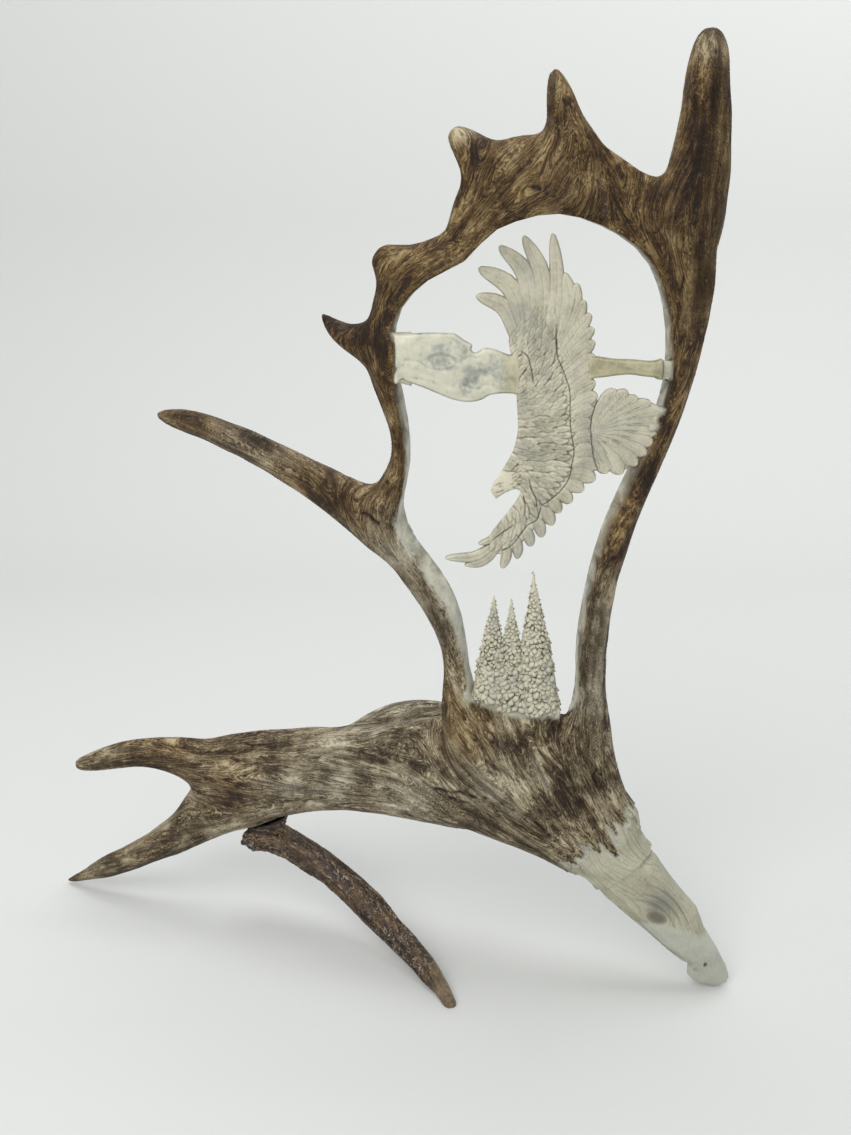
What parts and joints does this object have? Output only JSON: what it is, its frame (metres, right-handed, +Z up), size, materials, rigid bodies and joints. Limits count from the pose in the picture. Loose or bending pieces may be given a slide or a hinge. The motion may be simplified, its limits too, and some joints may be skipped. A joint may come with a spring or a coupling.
{
  "type": "carved moose antler on a deer antler leg",
  "caption": "Carved moose antler: pierced palm with a flying eagle, cloud band and conifers, beam ending in an eagle head, a deer antler leg.",
  "frame": {"origin": "on the surface it stands on, under the middle of its bounding box", "axes": "+Z up; -Y is the side that the broad carved face of the palm looks to; +X towards the eagle head's beak"},
  "size_m": [0.4841, 0.17, 0.6013],
  "materials": {
    "antler_bark": "grained brown antler surface, satin, weathered grey on the beam",
    "carved_antler": "carved and sanded ivory antler core with grey mottling, satin",
    "deer_antler": "ridged dark red-brown deer antler with pale ridge tops, satin"
  },
  "bodies": {
    "root": {"beam": "antler_bark", "eagle_head": "carved_antler", "brow_palm": "antler_bark", "upper_brow_tine": "antler_bark", "lower_brow_tine": "antler_bark", "front_rail": "antler_bark", "long_front_tine": "antler_bark", "front_crown": "antler_bark", "side_crown_tine": "antler_bark", "front_crown_tine": "antler_bark", "middle_crown_tine": "antler_bark", "rear_crown": "antler_bark", "top_tine": "antler_bark", "rear_rail": "antler_bark", "flying_eagle": "carved_antler", "cloud_left": "carved_antler", "cloud_right": "carved_antler", "conifers": "carved_antler", "deer_antler_leg": "deer_antler"}
  },
  "joints": []
}
